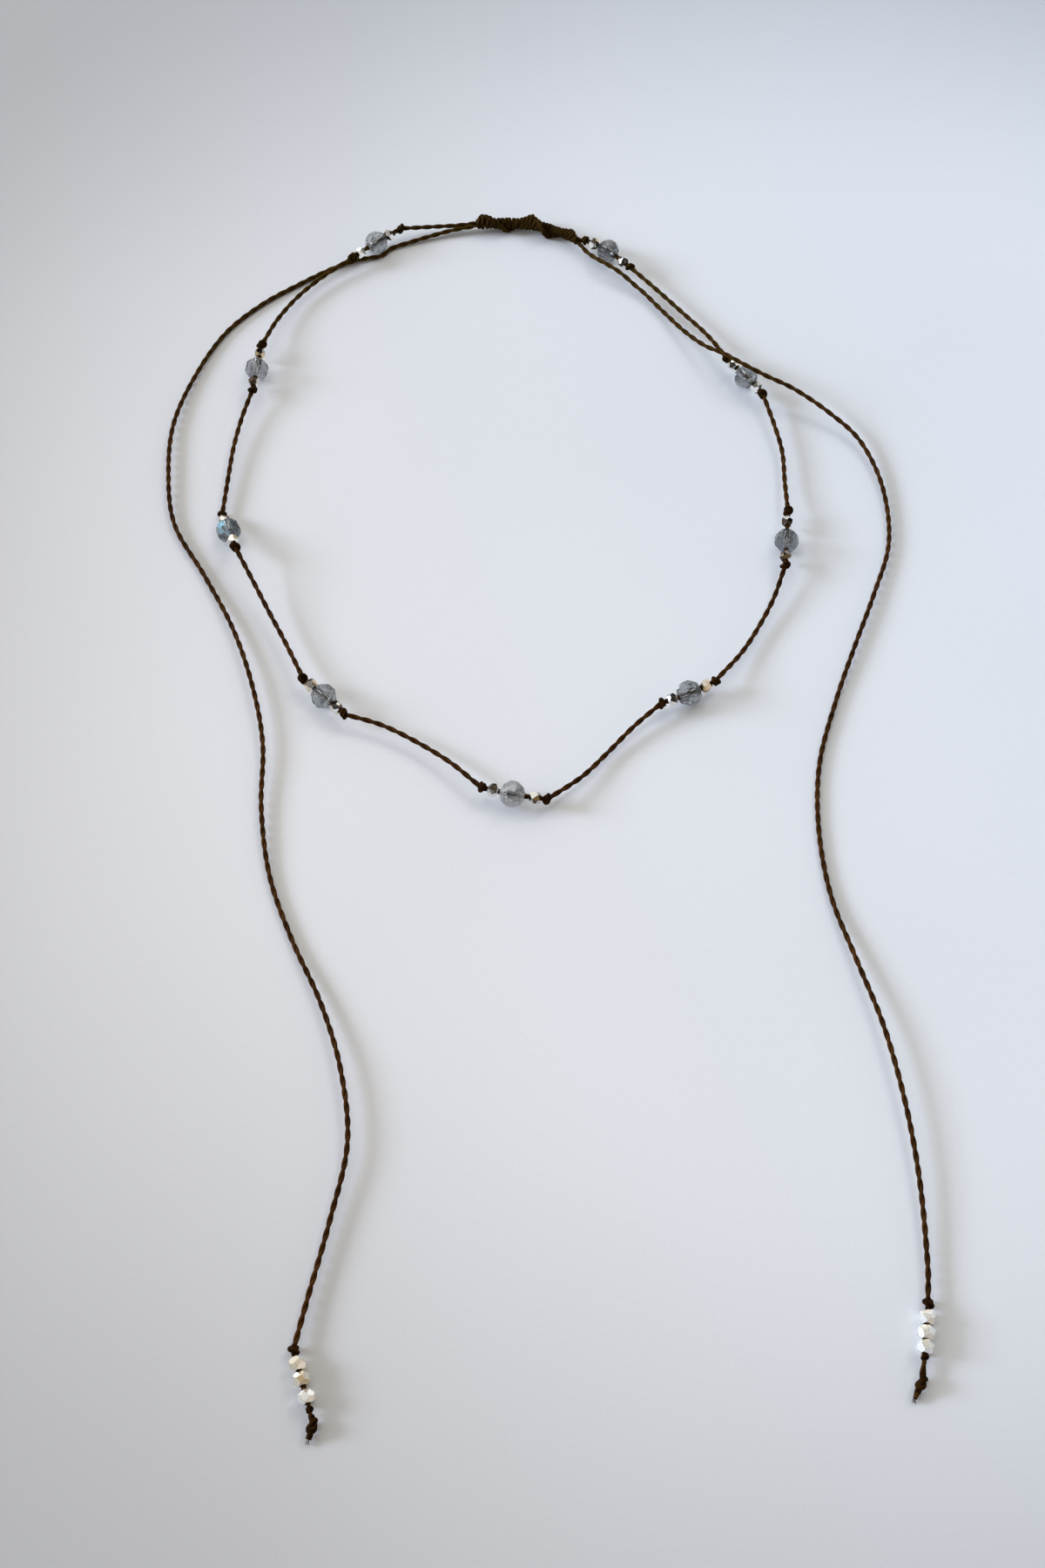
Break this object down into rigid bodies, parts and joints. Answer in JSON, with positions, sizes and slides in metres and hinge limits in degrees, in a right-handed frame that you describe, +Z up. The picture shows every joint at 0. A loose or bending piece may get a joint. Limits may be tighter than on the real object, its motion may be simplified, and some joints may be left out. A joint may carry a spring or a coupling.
{
  "type": "slider necklace",
  "caption": "Slider necklace lying open: faceted grey stones between silver nuggets and knots on waxed cord, closed by a sliding knot, with long tails that end in nuggets.",
  "frame": {"origin": "middle of the loop's box, on the surface that the necklace lies on", "axes": "+Z up from the surface, +Y across the loop towards the sliding knot at the back of the neck, +X to the wearer's side that lies right when seen from above with the sliding knot at the top"},
  "size_m": [0.1255, 0.2285, 0.0047],
  "materials": {
    "grey_stone": "polished, translucent",
    "silver": "polished silver facets",
    "waxed_cord": "waxed two-ply twist",
    "knotted_cord": "waxed, knotted"
  },
  "bodies": {
    "root": {"stone_1": "grey_stone", "stone_2": "grey_stone", "stone_3": "grey_stone", "stone_4": "grey_stone", "stone_5": "grey_stone", "stone_6": "grey_stone", "stone_7": "grey_stone", "stone_8": "grey_stone", "stone_9": "grey_stone", "nugget_1a": "silver", "nugget_1b": "silver", "nugget_2a": "silver", "nugget_2b": "silver", "nugget_3a": "silver", "nugget_3b": "silver", "nugget_4a": "silver", "nugget_4b": "silver", "nugget_5a": "silver", "nugget_5b": "silver", "nugget_6a": "silver", "nugget_6b": "silver", "nugget_7a": "silver", "nugget_7b": "silver", "nugget_8a": "silver", "nugget_8b": "silver", "nugget_9a": "silver", "nugget_9b": "silver", "left_tail_nugget_1": "silver", "left_tail_nugget_2": "silver", "left_tail_nugget_3": "silver", "right_tail_nugget_1": "silver", "right_tail_nugget_2": "silver", "right_tail_nugget_3": "silver", "left_tail_cord": "waxed_cord", "right_tail_cord": "waxed_cord", "loop_cord": "waxed_cord", "slider_knot": "knotted_cord"}
  },
  "joints": []
}
